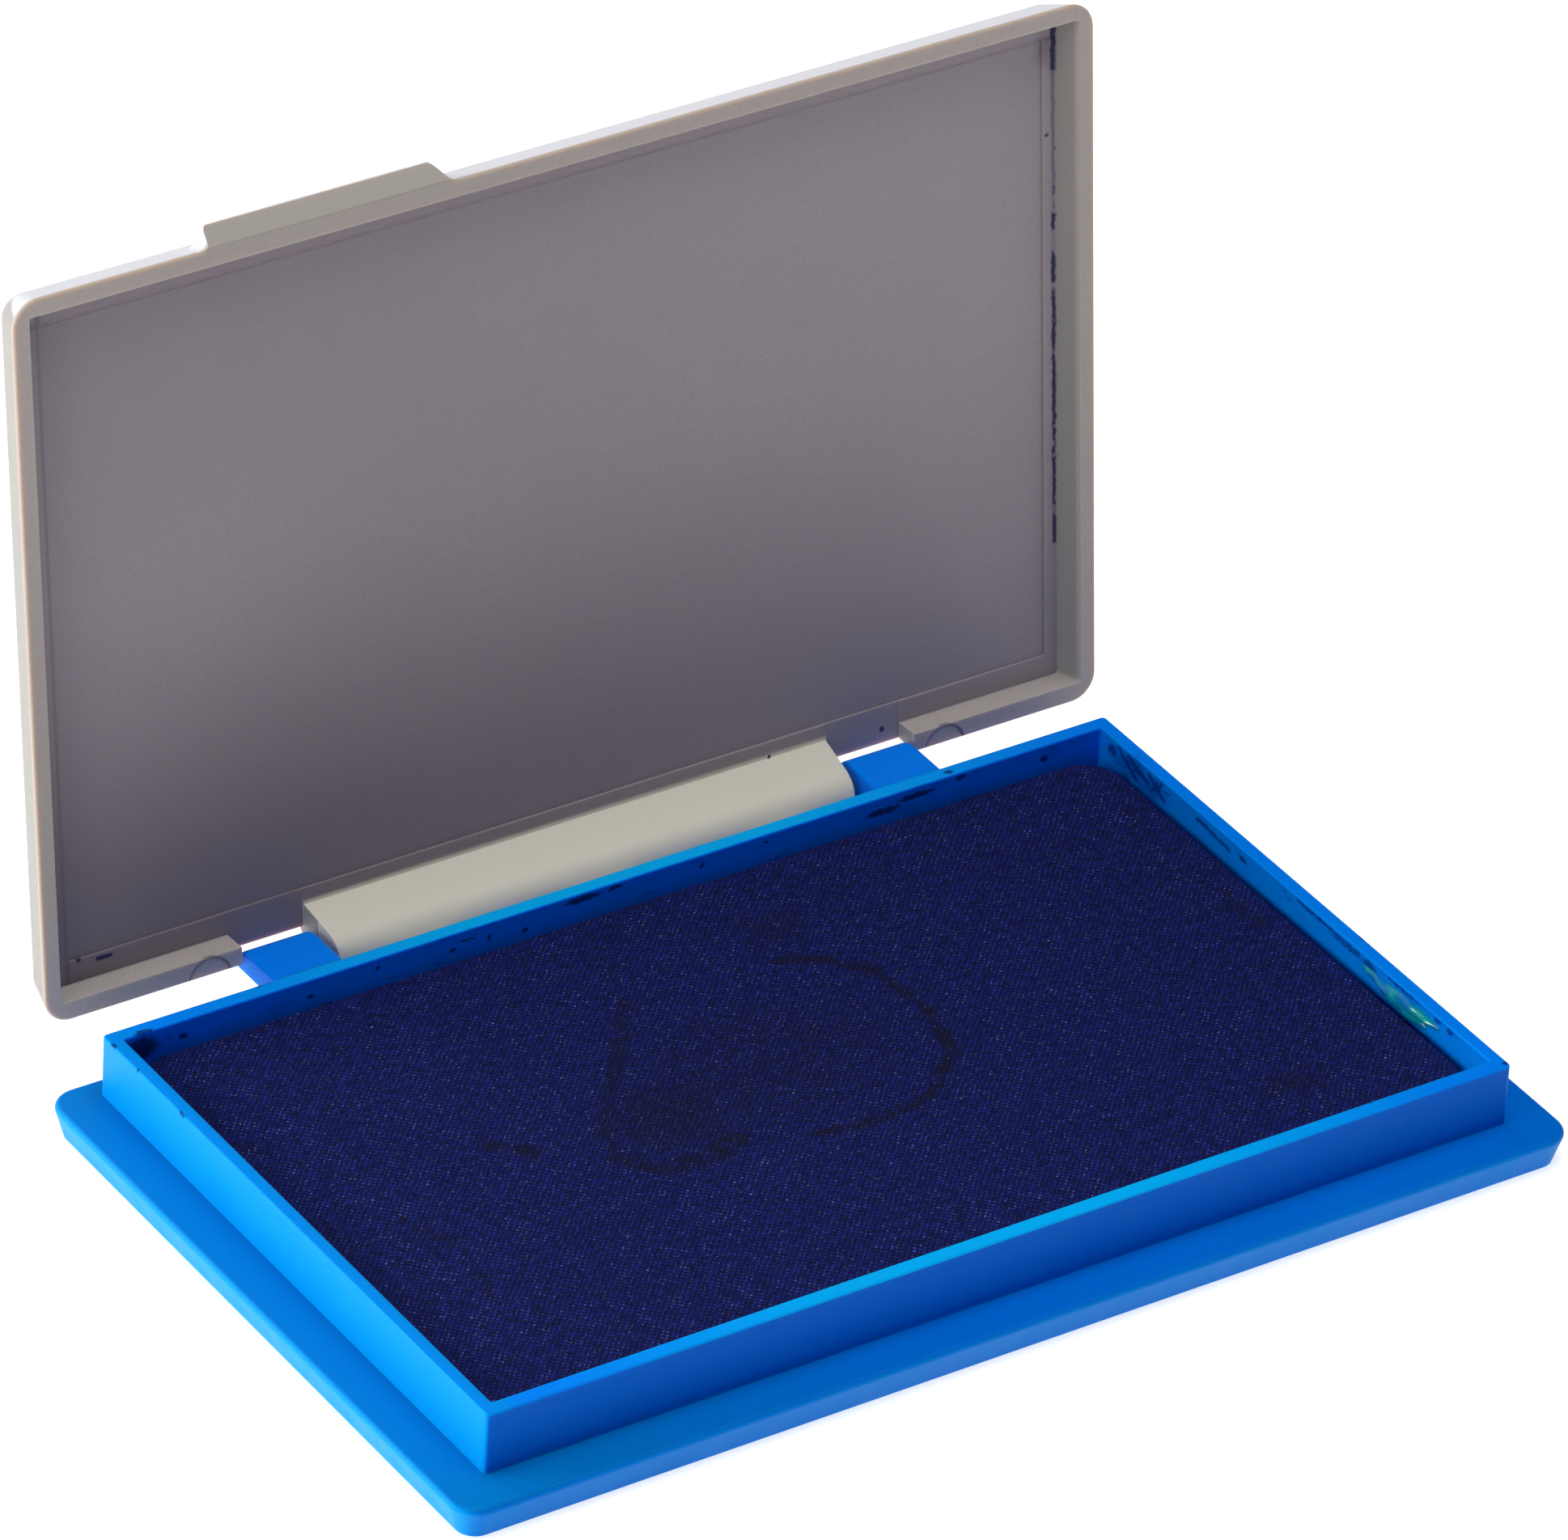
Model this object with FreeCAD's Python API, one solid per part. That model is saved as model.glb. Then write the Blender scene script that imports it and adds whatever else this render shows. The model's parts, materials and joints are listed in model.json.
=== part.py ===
# A hinged ink pad: a tray with a cloth-covered pad glued into it, and a lid that turns on two lugs.
# Millimetres. +X runs along the length, +Y points to the hinge and +Z up. The origin is on the
# underside of the tray, below the centre of its rim. Every piece is at rest, with the lid open.
import FreeCAD, Part
import math
import os

V = FreeCAD.Vector

# ---- tray: one moulding with a rim wall, a floor and a flange round its foot ----
RIM_LENGTH = 101.0
RIM_WIDTH = 60.5
TRAY_HEIGHT = 9.0
SIDE_WALL = 1.3
LONG_WALL = 1.45
FLOOR = 1.3
RIM_CORNER = 0.45
CAVITY_CORNER = 0.3
RIM_EDGE = 0.18
FLANGE_LENGTH = 110.0
FLANGE_FRONT = -34.5
FLANGE_BACK = 32.3
FLANGE_HEIGHT = 3.1
FLANGE_PLATE = 1.2
FLANGE_SKIRT = 1.2
FLANGE_DRAFT = 0.93
FLANGE_CORNER = 2.7
FLANGE_EDGE = 0.45
GATE_Y = 15.0                     # the mould gate is behind the middle of the underside
GATE_RECESS = (3.0, 0.3)          # radius, depth
GATE_NUB = (0.7, 0.2)             # radius, height

# ---- hinge ----
HINGE_Y = 34.6
HINGE_Z = 6.6
OPEN_ANGLE = 97.0
LUG_INNER = 26.85                 # distance of each lug's two sides from the middle
LUG_OUTER = 33.6
LUG_RADIUS = 2.2
LUG_EDGE = 0.4
LUG_PLATE_WIDTH = 1.8             # the outer strip of a lug is only a plate
LUG_PLATE_UNDERSIDE = 6.7
PIN_RADIUS = 1.05
PIN_CLEARANCE = 0.05
PIN_LENGTH = 3.2                  # how far a pin reaches into its lug
PIN_END_GAP = 0.35
PIN_CHAMFER = 0.3
RELIEF_CHAMFER = 1.2              # on the flange's rear edge, where the stop heels pass

# ---- lid: one moulding, drawn closed and then turned open; depths count from its rim ----
LID_LENGTH = 106.1
LID_WIDTH = 66.56
LID_HEIGHT = 4.45
LID_DEPTH = 2.45
LID_BACK_TO_HINGE = 1.07
LID_RIM_TO_HINGE = 0.30
LID_SIDE_WALL = 1.6
LID_BACK_WALL = 1.76
LID_FRONT_WALL = 1.6
LID_INNER_DRAFT = 0.15
LID_INNER_SIDE_DRAFT = 0.9
LID_OUTER_DRAFT = 1.4
LID_BACK_DRAFT = 0.7
LID_CORNER = 2.5
LID_TOP_CORNER = 1.9
LID_INNER_CORNER = 0.3
LID_TOP_EDGE = 0.7
LID_RIM_EDGE = 0.22
PANEL_HALF = (49.35, 29.4)         # the recessed middle of the ceiling
PANEL_RECESS = 0.25
NOTCH_INNER = 26.35
NOTCH_OUTER = 33.95
NOTCH_EXTRA_DEPTH = 0.06
BARREL_RADIUS = 2.35
BAR_SLOPE = 20.0                  # lean of the hinge bar's front face
BAR_END_DRAFT = 0.36
HEEL_POSITIONS = (-18.0, 0.0, 18.0)
HEEL_WIDTH = 6.0
HEEL_HEIGHT = 1.2
STOP_GAP = 0.05
EJECTOR_X = 37.1
EJECTOR_RADIUS = 2.0
EJECTOR_OFFSET = 0.3              # its centre lies this far outside the rim's back edge
EJECTOR_DEPTH = 0.1
TAB_ROOT = (-34.7, -11.1)
TAB_TIP = (-33.9, -11.9)
TAB_REACH = 1.12
TAB_LEDGE = 0.2                   # the rim's face runs on this far before the tab's underside slopes
TAB_SLOPE_HEIGHT = 2.15
TAB_HEIGHT = 2.4
TAB_CORNER = 0.7
TAB_ROOT_CORNER = 0.8
TAB_EMBED = 1.0

# ---- pad: board, felt and foam wrapped in cloth ----
PAD_GAP = 0.2                     # between the cloth and the tray's walls
PAD_TOP = 7.2
PAD_CORNER = 3.2
PAD_EDGE = 1.2
CLOTH = 0.35
HEM = 8.0                         # width of cloth folded under the board
BOARD = 1.0
FELT = 2.6
GLUE_Y = (-20.5, -12.5)
GLUE_RADIUS = 0.85
GLUE_Z = 7.1

# ---- worked out from the dimensions above ----
LID_RIM_Z = HINGE_Z + LID_RIM_TO_HINGE
LID_BACK = HINGE_Y - LID_BACK_TO_HINGE
LID_FRONT = LID_BACK - LID_WIDTH
LID_TOP_Z = LID_RIM_Z + LID_HEIGHT
CEILING_Z = LID_RIM_Z + LID_DEPTH
PAD_HALF_X = RIM_LENGTH / 2 - SIDE_WALL - PAD_GAP
PAD_HALF_Y = RIM_WIDTH / 2 - LONG_WALL - PAD_GAP
HINGE_POINT = V(0, HINGE_Y, HINGE_Z)
X_AXIS = V(1, 0, 0)
OVERCUT = 1.0                     # how far a cutting tool passes a face
CLOSE = 1e-4                      # lengths below this count as zero


def rounded_rectangle(x_range, y_range, radius, z):
    """Closed wire at height z, with a quarter circle at each corner."""
    x_low, x_high = x_range
    y_low, y_high = y_range
    centres = ((x_high - radius, y_high - radius), (x_low + radius, y_high - radius),
               (x_low + radius, y_low + radius), (x_high - radius, y_low + radius))
    arcs = []
    for quarter, (x, y) in enumerate(centres):
        turns = [math.radians(90 * quarter + step) for step in (0, 45, 90)]
        arcs.append([V(x + radius * math.cos(a), y + radius * math.sin(a), z) for a in turns])
    edges = []
    for index, points in enumerate(arcs):
        edges.append(Part.Arc(*points).toShape())
        edges.append(Part.makeLine(points[2], arcs[(index + 1) % 4][0]))
    return Part.Wire(edges)


def prism(x_range, y_range, z_range, radius):
    """Upright block with round vertical edges."""
    outline = rounded_rectangle(x_range, y_range, radius, z_range[0])
    return Part.Face(outline).extrude(V(0, 0, z_range[1] - z_range[0]))


def box(x_range, y_range, z_range):
    size = [high - low for low, high in (x_range, y_range, z_range)]
    return Part.makeBox(*size, V(x_range[0], y_range[0], z_range[0]))


def both(half):
    """A range centred on zero."""
    return (-half, half)


def mirrored(shape):
    """The shape's twin on the other side of the middle plane."""
    return shape.mirror(V(0, 0, 0), X_AXIS)


def level_edges(shape, z):
    """The edges of a shape that lie wholly at height z."""
    return [e for e in shape.Edges if max(abs(e.BoundBox.ZMin - z), abs(e.BoundBox.ZMax - z)) < CLOSE]


def rounded_outline(corners):
    """Closed wire through corners given as (point, radius), with an arc at each that has a radius."""
    count = len(corners)
    ends = []
    edges = []
    for index, (point, radius) in enumerate(corners):
        into = (point - corners[index - 1][0]).normalize()
        out = (corners[(index + 1) % count][0] - point).normalize()
        half_turn = into.getAngle(out) / 2
        start = point - into * (radius * math.tan(half_turn))
        end = point + out * (radius * math.tan(half_turn))
        if radius:
            inwards = (out - into).normalize()
            middle = point + inwards * (radius / math.cos(half_turn) - radius)
            edges.append(Part.Arc(start, middle, end).toShape())
        ends.append((start, end))
    for index in range(count):
        edges.append(Part.makeLine(ends[index - 1][1], ends[index][0]))
    return Part.Wire(Part.__sortEdges__(edges))


# ---- tray ----
def make_flange():
    half = FLANGE_LENGTH / 2
    foot = rounded_rectangle(both(half - FLANGE_DRAFT),
                             (FLANGE_FRONT + FLANGE_DRAFT, FLANGE_BACK - FLANGE_DRAFT),
                             FLANGE_CORNER - FLANGE_DRAFT, 0)
    top = rounded_rectangle(both(half), (FLANGE_FRONT, FLANGE_BACK), FLANGE_CORNER, FLANGE_HEIGHT)
    flange = Part.makeLoft([foot, top], True, True)
    flange = flange.makeFillet(FLANGE_EDGE, level_edges(flange, FLANGE_HEIGHT))
    inset = FLANGE_DRAFT + FLANGE_SKIRT
    channel = prism(both(half - inset), (FLANGE_FRONT + inset, RIM_WIDTH / 2 - OVERCUT),
                    (-OVERCUT, FLANGE_HEIGHT - FLANGE_PLATE), FLANGE_CORNER - FLANGE_DRAFT)
    channel = channel.cut(box(both(RIM_LENGTH / 2), both(RIM_WIDTH / 2), (-OVERCUT, FLANGE_HEIGHT)))
    relief_face = Part.Face(Part.makePolygon([
        V(-LUG_INNER, FLANGE_BACK - RELIEF_CHAMFER, FLANGE_HEIGHT),
        V(-LUG_INNER, FLANGE_BACK + OVERCUT, FLANGE_HEIGHT),
        V(-LUG_INNER, FLANGE_BACK + OVERCUT, FLANGE_HEIGHT - RELIEF_CHAMFER - OVERCUT),
        V(-LUG_INNER, FLANGE_BACK - RELIEF_CHAMFER, FLANGE_HEIGHT)]))
    relief = relief_face.extrude(V(2 * LUG_INNER, 0, 0))
    return flange.cut(channel).cut(relief)


def make_lug():
    """The right-hand lug: an arm from the rim that ends in a knuckle round the hinge axis."""
    root_y = RIM_WIDTH / 2 - LONG_WALL / 2
    top_z = HINGE_Z + LUG_RADIUS
    low_z = HINGE_Z - LUG_RADIUS
    profile = ((root_y, top_z), (HINGE_Y, top_z), (HINGE_Y, low_z), (root_y, low_z))
    corners = [V(LUG_INNER, y, z) for y, z in profile]
    nose = Part.Arc(corners[1], V(LUG_INNER, HINGE_Y + LUG_RADIUS, HINGE_Z), corners[2]).toShape()
    outline = Part.Wire([Part.makeLine(corners[0], corners[1]), nose, Part.makeLine(corners[2], corners[3]),
                         Part.makeLine(corners[3], corners[0])])
    lug = Part.Face(outline).extrude(V(LUG_OUTER - LUG_INNER, 0, 0))
    sides = [e for e in lug.Edges if e.BoundBox.XLength < CLOSE < e.BoundBox.YLength]
    lug = lug.makeFillet(LUG_EDGE, sides)
    web = box((LUG_INNER + LUG_EDGE, LUG_OUTER - LUG_PLATE_WIDTH), (root_y, FLANGE_BACK - FLANGE_EDGE),
              (FLANGE_HEIGHT - FLANGE_PLATE / 2, HINGE_Z))
    lug = lug.fuse(web)
    under_plate = box((LUG_OUTER - LUG_PLATE_WIDTH, LUG_OUTER + OVERCUT),
                      (RIM_WIDTH / 2, HINGE_Y + 2 * LUG_RADIUS), (0, LUG_PLATE_UNDERSIDE))
    bore = Part.makeCylinder(PIN_RADIUS + PIN_CLEARANCE, PIN_LENGTH + PIN_END_GAP + OVERCUT,
                             V(LUG_INNER - OVERCUT, HINGE_Y, HINGE_Z), X_AXIS)
    return lug.cut(under_plate).cut(bore)


def make_tray():
    wall = prism(both(RIM_LENGTH / 2), both(RIM_WIDTH / 2), (0, TRAY_HEIGHT), RIM_CORNER)
    cavity = prism(both(RIM_LENGTH / 2 - SIDE_WALL), both(RIM_WIDTH / 2 - LONG_WALL),
                   (FLOOR, TRAY_HEIGHT), CAVITY_CORNER)
    wall = wall.cut(cavity)
    wall = wall.makeFillet(RIM_EDGE, level_edges(wall, TRAY_HEIGHT))
    lug = make_lug()
    tray = wall.fuse([make_flange().cut(cavity), lug, mirrored(lug)])
    tray = tray.cut(Part.makeCylinder(*GATE_RECESS, V(0, GATE_Y, 0)))
    nub_foot = GATE_RECESS[1] - GATE_NUB[1]
    return tray.fuse(Part.makeCylinder(GATE_NUB[0], FLOOR - nub_foot, V(0, GATE_Y, nub_foot)))


# ---- lid ----
def make_lid_shell():
    half = LID_LENGTH / 2
    rim = rounded_rectangle(both(half), (LID_FRONT, LID_BACK), LID_CORNER, LID_RIM_Z)
    top = rounded_rectangle(both(half - LID_OUTER_DRAFT),
                            (LID_FRONT + LID_OUTER_DRAFT, LID_BACK - LID_BACK_DRAFT),
                            LID_TOP_CORNER, LID_TOP_Z)
    shell = Part.makeLoft([rim, top], True, True)
    shell = shell.makeFillet(LID_TOP_EDGE, level_edges(shell, LID_TOP_Z))
    shell = shell.makeFillet(LID_RIM_EDGE, level_edges(shell, LID_RIM_Z))
    inner_half = half - LID_SIDE_WALL
    inner_y = (LID_FRONT + LID_FRONT_WALL, LID_BACK - LID_BACK_WALL)
    mouth = rounded_rectangle(both(inner_half), inner_y, LID_INNER_CORNER, LID_RIM_Z)
    ceiling = rounded_rectangle(both(inner_half - LID_INNER_SIDE_DRAFT),
                                (inner_y[0] + LID_INNER_DRAFT, inner_y[1] - LID_INNER_DRAFT),
                                LID_INNER_CORNER, CEILING_Z)
    shell = shell.cut(Part.makeLoft([mouth, ceiling], True, True))
    middle = sum(inner_y) / 2
    panel_back = middle + PANEL_HALF[1]
    panel_front = middle - PANEL_HALF[1]
    panel_z = (CEILING_Z, CEILING_Z + PANEL_RECESS)
    shell = shell.cut(box(both(PANEL_HALF[0]), (panel_front, panel_back), panel_z))
    below = LID_RIM_Z - OVERCUT
    behind = LID_BACK + OVERCUT
    gap_front = inner_y[1] - LID_INNER_DRAFT
    shell = shell.cut(box(both(NOTCH_INNER + OVERCUT), (gap_front, behind), (below, CEILING_Z)))
    notch = box((NOTCH_INNER, NOTCH_OUTER), (panel_back, behind), (below, CEILING_Z + NOTCH_EXTRA_DEPTH))
    shell = shell.cut([notch, mirrored(notch)])
    mark = Part.makeCylinder(EJECTOR_RADIUS, EJECTOR_DEPTH + OVERCUT,
                             V(EJECTOR_X, LID_BACK + EJECTOR_OFFSET, below))
    return shell.cut([mark, mirrored(mark)])


def make_hinge_bar():
    """The bar that hangs from the ceiling's back edge and ends in a barrel round the hinge axis."""
    lean = math.radians(BAR_SLOPE)
    x = -NOTCH_INNER

    def on_barrel(angle):
        return V(x, HINGE_Y + BARREL_RADIUS * math.cos(angle), HINGE_Z + BARREL_RADIUS * math.sin(angle))

    front_foot = on_barrel(math.pi + lean)
    rise = LID_TOP_Z - LID_TOP_EDGE - front_foot.z
    front_head = V(x, front_foot.y - rise * math.tan(lean), front_foot.z + rise)
    back_head = V(x, LID_BACK - LID_BACK_DRAFT, front_head.z)
    reach = math.hypot(back_head.y - HINGE_Y, back_head.z - HINGE_Z)
    bearing = math.atan2(back_head.z - HINGE_Z, back_head.y - HINGE_Y)
    back_angle = bearing - math.acos(BARREL_RADIUS / reach)
    back_foot = on_barrel(back_angle)
    under = on_barrel((back_angle + lean - math.pi) / 2)
    barrel = Part.Arc(front_foot, under, back_foot).toShape()
    outline = Part.Wire([Part.makeLine(front_head, front_foot), barrel,
                         Part.makeLine(back_foot, back_head), Part.makeLine(back_head, front_head)])
    bar = Part.Face(outline).extrude(V(2 * NOTCH_INNER, 0, 0))
    low_z = HINGE_Z - BARREL_RADIUS
    end_face = Part.Face(Part.makePolygon([
        V(NOTCH_INNER, 0, CEILING_Z), V(NOTCH_INNER - BAR_END_DRAFT, 0, low_z),
        V(NOTCH_INNER + OVERCUT, 0, low_z), V(NOTCH_INNER + OVERCUT, 0, CEILING_Z),
        V(NOTCH_INNER, 0, CEILING_Z)]))
    end_face.translate(V(0, LID_BACK - LID_WIDTH / 4, 0))
    end_cut = end_face.extrude(V(0, LID_WIDTH / 2, 0))
    bar = bar.cut([end_cut, mirrored(end_cut)])
    pin_foot = NOTCH_INNER - OVERCUT
    pin_tip = LUG_INNER + PIN_LENGTH
    pin = Part.makeCylinder(PIN_RADIUS, pin_tip - pin_foot, V(pin_foot, HINGE_Y, HINGE_Z), X_AXIS)
    tip_edges = [e for e in pin.Edges if e.BoundBox.XMin > pin_tip - CLOSE]
    pin = pin.makeChamfer(PIN_CHAMFER, tip_edges)
    return bar.fuse([pin, mirrored(pin)])


def tab_outline(height):
    """The tab's outline from above, this high over the rim, run into the lid's sloping front wall."""
    wall_y = LID_FRONT + LID_OUTER_DRAFT * height / LID_HEIGHT
    tip_y = LID_FRONT - TAB_REACH
    root_y = wall_y + TAB_EMBED
    wing = TAB_ROOT_CORNER
    z = LID_RIM_Z + height
    return rounded_outline([
        (V(TAB_ROOT[0] - wing, root_y, z), 0), (V(TAB_ROOT[0] - wing, wall_y, z), 0),
        (V(TAB_ROOT[0], wall_y, z), TAB_ROOT_CORNER), (V(TAB_TIP[0], tip_y, z), TAB_CORNER),
        (V(TAB_TIP[1], tip_y, z), TAB_CORNER), (V(TAB_ROOT[1], wall_y, z), TAB_ROOT_CORNER),
        (V(TAB_ROOT[1] + wing, wall_y, z), 0), (V(TAB_ROOT[1] + wing, root_y, z), 0)])


def make_thumb_tab():
    """A lip on the front edge whose underside slopes up and outwards from the rim."""
    tab = Part.makeLoft([tab_outline(0), tab_outline(TAB_HEIGHT)], True, True)
    slope_y = LID_FRONT - TAB_LEDGE
    tip_y = LID_FRONT - TAB_REACH
    slope_rise = TAB_SLOPE_HEIGHT / (TAB_REACH - TAB_LEDGE)
    x = TAB_ROOT[0] - LID_WIDTH / 2
    far_y = tip_y - OVERCUT
    far_z = LID_RIM_Z + TAB_SLOPE_HEIGHT + OVERCUT * slope_rise
    low_z = LID_RIM_Z - OVERCUT
    wedge = Part.Face(Part.makePolygon([V(x, slope_y, LID_RIM_Z), V(x, far_y, far_z), V(x, far_y, low_z),
                                        V(x, slope_y, low_z), V(x, slope_y, LID_RIM_Z)]))
    return tab.cut(wedge.extrude(V(LID_LENGTH, 0, 0)))


def make_lid():
    lid = make_lid_shell().fuse([make_hinge_bar(), make_thumb_tab()])
    lid.rotate(HINGE_POINT, X_AXIS, -OPEN_ANGLE)
    heels = []
    for x in HEEL_POSITIONS:
        heels.append(box((x - HEEL_WIDTH / 2, x + HEEL_WIDTH / 2), (RIM_WIDTH / 2 + STOP_GAP, HINGE_Y),
                         (HINGE_Z - HEEL_HEIGHT, HINGE_Z)))
    return lid.fuse(heels)


# ---- pad ----
def pad_layer(inset, z_range, edge):
    """One layer of the pad, its top edge rounded where it is given an edge radius."""
    layer = prism(both(PAD_HALF_X - inset), both(PAD_HALF_Y - inset), z_range, PAD_CORNER - inset)
    if edge:
        layer = layer.makeFillet(edge, level_edges(layer, z_range[1]))
    return layer


def make_pad():
    """The pad's four pieces, by name."""
    board_z = FLOOR + CLOTH
    felt_z = board_z + BOARD
    foam_z = felt_z + FELT
    inside_top = PAD_TOP - CLOTH
    inside_edge = PAD_EDGE - CLOTH
    inside = pad_layer(CLOTH, (board_z, inside_top), inside_edge)
    window = box(both(PAD_HALF_X - HEM), both(PAD_HALF_Y - HEM), (FLOOR, board_z))
    cover = pad_layer(0, (FLOOR, PAD_TOP), PAD_EDGE).cut([inside, window])
    return {"backing_board": pad_layer(CLOTH, (board_z, felt_z), 0),
            "reservoir_felt": pad_layer(CLOTH, (felt_z, foam_z), 0),
            "cushion_foam": pad_layer(CLOTH, (foam_z, inside_top), inside_edge),
            "fabric_cover": cover}


def make_glue_bead():
    """Glue squeezed up between the pad and the tray's right wall."""
    wall_x = RIM_LENGTH / 2 - SIDE_WALL
    rod = Part.makeCylinder(GLUE_RADIUS, GLUE_Y[1] - GLUE_Y[0], V(wall_x, GLUE_Y[0], GLUE_Z), V(0, 1, 0))
    ends = [Part.makeSphere(GLUE_RADIUS, V(wall_x, y, GLUE_Z)) for y in GLUE_Y]
    inside = box((PAD_HALF_X - PAD_EDGE, wall_x), both(RIM_WIDTH / 2), (FLOOR, TRAY_HEIGHT))
    pad_block = pad_layer(0, (FLOOR, PAD_TOP), PAD_EDGE)
    return rod.fuse(ends).common(inside).cut(pad_block)


pieces = {"base_tray": make_tray(), "lid": make_lid()}
pieces.update(make_pad())
pieces["glue_bead"] = make_glue_bead()

os.makedirs("parts", exist_ok=True)
for name, shape in pieces.items():
    solid = shape.removeSplitter()
    solid.exportStep("parts/" + name + ".step")
    print(name, "valid", solid.isValid(), "solids", len(solid.Solids), "volume", round(solid.Volume, 2))
    print(solid.BoundBox)
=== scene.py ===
# Looks for the hinged ink pad: a blue tray with an inked cloth pad, and a grey lid that stands open.
# Everything is in metres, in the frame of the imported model.
import json
import math
import random
import bmesh
import bpy
from mathutils import Matrix, Vector, noise


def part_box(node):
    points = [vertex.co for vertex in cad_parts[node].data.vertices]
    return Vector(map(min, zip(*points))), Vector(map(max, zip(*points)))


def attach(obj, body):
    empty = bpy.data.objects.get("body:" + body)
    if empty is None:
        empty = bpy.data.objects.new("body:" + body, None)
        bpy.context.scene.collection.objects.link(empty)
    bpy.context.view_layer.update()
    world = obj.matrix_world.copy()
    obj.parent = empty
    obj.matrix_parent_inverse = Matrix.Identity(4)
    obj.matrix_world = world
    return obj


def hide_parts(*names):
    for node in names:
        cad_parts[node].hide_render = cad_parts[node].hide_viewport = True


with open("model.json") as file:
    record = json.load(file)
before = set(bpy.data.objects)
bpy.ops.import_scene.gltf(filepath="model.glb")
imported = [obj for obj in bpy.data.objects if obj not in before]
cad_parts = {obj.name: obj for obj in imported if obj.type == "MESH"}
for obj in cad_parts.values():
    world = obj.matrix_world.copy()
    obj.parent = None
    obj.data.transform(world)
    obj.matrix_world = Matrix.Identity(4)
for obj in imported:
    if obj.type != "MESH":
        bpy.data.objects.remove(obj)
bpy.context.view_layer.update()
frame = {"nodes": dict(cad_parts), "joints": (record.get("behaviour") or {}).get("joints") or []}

MM = 0.001
NODES = frame["nodes"]
HINGE = Vector(frame["joints"][0]["pos_m"])
COVER_LOW, COVER_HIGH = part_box("fabric_cover")
GLUE_LOW, GLUE_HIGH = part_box("glue_bead")
RIM_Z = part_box("base_tray")[1].z

# ---- camera ----
CAMERA_AIM = Vector((4.4, 12.5, 28.35)) * MM
CAMERA_DISTANCE = 1.0118
CAMERA_AZIMUTH = math.radians(35.13)      # turned from +Y towards +X
CAMERA_ELEVATION = math.radians(33.44)
CAMERA_ROLL = math.radians(3.64)
CAMERA_LENS = 278.9
SENSOR = 36.0

# ---- pad ----
PITCH = 0.30 * MM                         # one thread of the cloth to the next
CLOTH = 0.3 * MM
CORNER = 4.0 * MM
ROLL_OUT = 0.9 * MM                       # how far the top edge rolls outwards, and down
ROLL_DOWN = 1.2 * MM
CROWN = 0.3 * MM
HEM = 8.0 * MM
DRAWN_IN = 0.09 * MM                      # how far the cloth is drawn in at its sides
CELL = 0.6 * MM                           # mesh size on top of the pad
FIBRES = 1100

# ---- tray ----
SKIRT_TOP = 3.4 * MM
BACK_WALL = 28.8 * MM                     # its inner face
RIGHT_WALL = 49.2 * MM
INSIDE = 0.2 * MM                         # how far a wall's inner face fades into its top

# ---- lid, open ----
OPEN = math.radians(97.0)
LID_RIM_TO_HINGE = 0.30 * MM
LID_DEPTH = 2.45 * MM
LID_JUNCTION = 50.35 * MM                 # where the right wall meets the panel
BAR_HALF = 26.5 * MM
LID_SIDE = 53.05 * MM                     # the rim's outer edges, from the middle and up from the hinge
LID_TOP = 67.63 * MM
PANEL_SIDE = 49.35 * MM                   # the edge of the raised panel
PANEL_TOP = 63.75 * MM
TAB_LEFT = -34.7 * MM
TAB_RIGHT = -11.1 * MM
MARK_X = 37.1 * MM                        # the round mould marks beside the hinge
MARK_UP = 0.77 * MM

# ---- colours ----
BLUE_DARK = (0.0, 0.155, 0.66, 1)
BLUE_LIGHT = (0.0, 0.185, 0.76, 1)
LEFT_LIT_BLUE = (0.0, 0.19, 0.57, 1)
FRONT_SHADE_BLUE = (0.0, 0.13, 0.65, 1)
SKIRT_LIT_BLUE = (0.0, 0.21, 0.72, 1)
RIM_END_LIT_BLUE = (0.0, 0.23, 1.0, 1)
RIM_MIDDLE_LIT_BLUE = (0.0, 0.44, 1.0, 1)
RIM_LEFT_LIT_BLUE = (0.0, 0.27, 0.84, 1)
BLUE_LIT = (0.0, 0.31, 0.81, 1)
LUG_LIT_BLUE = (0.0, 0.22, 0.98, 1)
INNER_WALL_LIT_BLUE = (0.0, 0.27, 1.0, 1)
BACK_WALL_LIT_BLUE = (0.0, 0.165, 1.0, 1)
INK_AND_SHADE_NAVY = (0.001, 0.012, 0.12, 1)
INK_SMEAR = (0.0, 0.04, 0.38, 1)
INK_STREAK = (0.0, 0.018, 0.24, 1)
INK_SPECK = (0.001, 0.008, 0.10, 1)
GREY_DARK = (0.44, 0.40, 0.385, 1)
GREY_LIGHT = (0.50, 0.455, 0.43, 1)
GREY_GRAIN = (0.34, 0.31, 0.31, 1)
PANEL_TINT = (0.86, 0.83, 0.97, 1)
PANEL_UPPER_SHADE = (0.27, 0.235, 0.27, 1)
PANEL_LOWER_SHADE = (0.16, 0.125, 0.15, 1)
PANEL_STEP_SHADE = (0.09, 0.075, 0.10, 1)
BAR_LIT_CREAM = (0.76, 0.73, 0.63, 1)
RIM_GLOW_TAN = (0.56, 0.44, 0.33, 1)
TAB_GREY = (0.385, 0.362, 0.33, 1)
SIDE_SHADE_GREY = (0.34, 0.325, 0.305, 1)
CREST_HIGHLIGHT_GREY = (0.62, 0.62, 0.67, 1)
MOULD_MARK = (0.07, 0.065, 0.09, 1)
LID_INK = (0.01, 0.008, 0.09, 1)
NAVY_DARK = (0.006, 0.015, 0.165, 1)
NAVY_LIGHT = (0.010, 0.023, 0.26, 1)
THREAD_GAP = (0.003, 0.006, 0.065, 1)
SLUB = (0.002, 0.003, 0.03, 1)
GLINT = (0.22, 0.30, 0.80, 1)
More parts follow.
